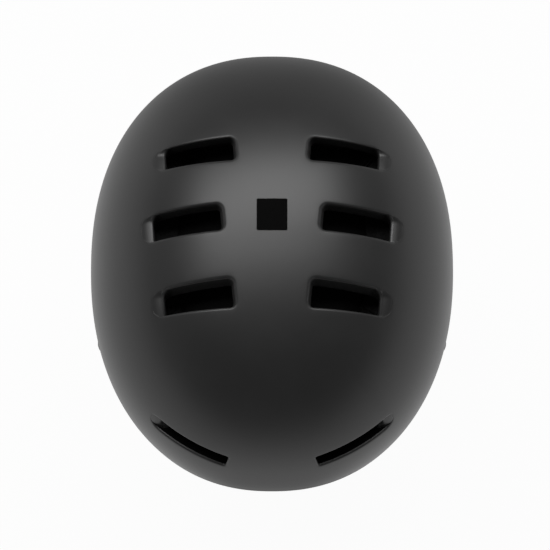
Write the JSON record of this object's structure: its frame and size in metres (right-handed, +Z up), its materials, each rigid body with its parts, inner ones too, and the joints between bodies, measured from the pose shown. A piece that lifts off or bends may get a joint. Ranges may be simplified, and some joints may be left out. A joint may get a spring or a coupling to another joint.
{
  "type": "skateboard helmet",
  "caption": "Rounded hard-shell skate helmet with vent wells, foam liner, comfort pads, riveted straps, locking dividers and a side-release chin buckle.",
  "frame": {"origin": "middle of the head opening, level with the lowest edge of the shell", "axes": "-Y to the front of the helmet, +X to the wearer's left, +Z up to the crown"},
  "size_m": [0.231, 0.2768, 0.3807],
  "materials": {
    "shell": "matte",
    "plate": "matte",
    "foam": "matte",
    "pad_cloth": "matte",
    "hook_tape": "matte",
    "webbing": "satin",
    "rivet_metal": "satin",
    "buckle_plastic": "satin",
    "keeper_rubber": "matte"
  },
  "bodies": {
    "root": {"outer_shell": "shell", "foam_liner": "foam", "strap_rivets": "rivet_metal", "rivet_washers": "rivet_metal", "front_strap_anchor_left": "webbing", "rear_strap_anchor_left": "webbing", "front_strap_anchor_right": "webbing", "rear_strap_anchor_right": "webbing", "front_pad": "pad_cloth", "rear_pad": "pad_cloth", "side_pad_left": "pad_cloth", "side_pad_right": "pad_cloth", "crown_pad": "pad_cloth", "pad_hook_patches": "hook_tape", "crown_plate": "plate"},
    "left_straps": {"front_strap_left": "webbing", "rear_strap_left": "webbing", "strap_divider_left": "buckle_plastic"},
    "left_lever": {"divider_lever_left": "buckle_plastic"},
    "left_chin": {"chin_strap_left": "webbing", "buckle_socket": "buckle_plastic"},
    "right_straps": {"front_strap_right": "webbing", "rear_strap_right": "webbing", "strap_divider_right": "buckle_plastic"},
    "right_lever": {"divider_lever_right": "buckle_plastic"},
    "right_chin": {"chin_strap_right": "webbing", "buckle_plug": "buckle_plastic"},
    "prong_front": {"buckle_prong_front": "buckle_plastic"},
    "prong_rear": {"buckle_prong_rear": "buckle_plastic"},
    "chin_cushion": {"chin_pad": "pad_cloth"},
    "keeper": {"strap_keeper": "keeper_rubber"}
  },
  "joints": [
    {"name": "left_straps_swing", "type": "hinge", "parent": "root", "child": "left_straps", "pos_m": [0.10668, -0.032, 0.0194], "axis": [-0.1633, 0.9764, -0.1412], "range_deg": [-60, 12]},
    {"name": "left_lever_flip", "type": "hinge", "parent": "left_straps", "child": "left_lever", "pos_m": [0.10425, 0.00193, -0.06897], "axis": [-0.1633, 0.9764, -0.1412], "range_deg": [-80, 0]},
    {"name": "left_chin_swing", "type": "hinge", "parent": "left_straps", "child": "left_chin", "pos_m": [0.10173, -0.00245, -0.09634], "axis": [-0.1633, 0.9764, -0.1412], "range_deg": [-60, 22]},
    {"name": "right_straps_swing", "type": "hinge", "parent": "root", "child": "right_straps", "pos_m": [-0.10668, -0.032, 0.0194], "axis": [-0.1633, -0.9764, 0.1412], "range_deg": [-60, 12]},
    {"name": "right_lever_flip", "type": "hinge", "parent": "right_straps", "child": "right_lever", "pos_m": [-0.10425, 0.00193, -0.06897], "axis": [-0.1633, -0.9764, 0.1412], "range_deg": [-80, 0]},
    {"name": "right_chin_swing", "type": "hinge", "parent": "right_straps", "child": "right_chin", "pos_m": [-0.10173, -0.00245, -0.09634], "axis": [-0.1633, -0.9764, 0.1412], "range_deg": [-60, 22]},
    {"name": "prong_front_squeeze", "type": "hinge", "parent": "right_chin", "child": "prong_front", "pos_m": [-0.10528, -0.02366, -0.19191], "axis": [-0.9863, 0.1649, 0], "range_deg": [-7, 0], "stiffness_Nm_per_rad": 0.02},
    {"name": "prong_rear_squeeze", "type": "hinge", "parent": "right_chin", "child": "prong_rear", "pos_m": [-0.10273, -0.00843, -0.19411], "axis": [-0.9863, 0.1649, 0], "range_deg": [0, 7], "stiffness_Nm_per_rad": 0.02},
    {"name": "chin_pad_slide", "type": "slide", "parent": "right_chin", "child": "chin_cushion", "axis": [0.0233, 0.1392, 0.99], "range_m": [-0.009, 0.006]},
    {"name": "keeper_slide", "type": "slide", "parent": "right_chin", "child": "keeper", "axis": [0.0233, 0.1392, 0.99], "range_m": [-0.005, 0.005]}
  ]
}
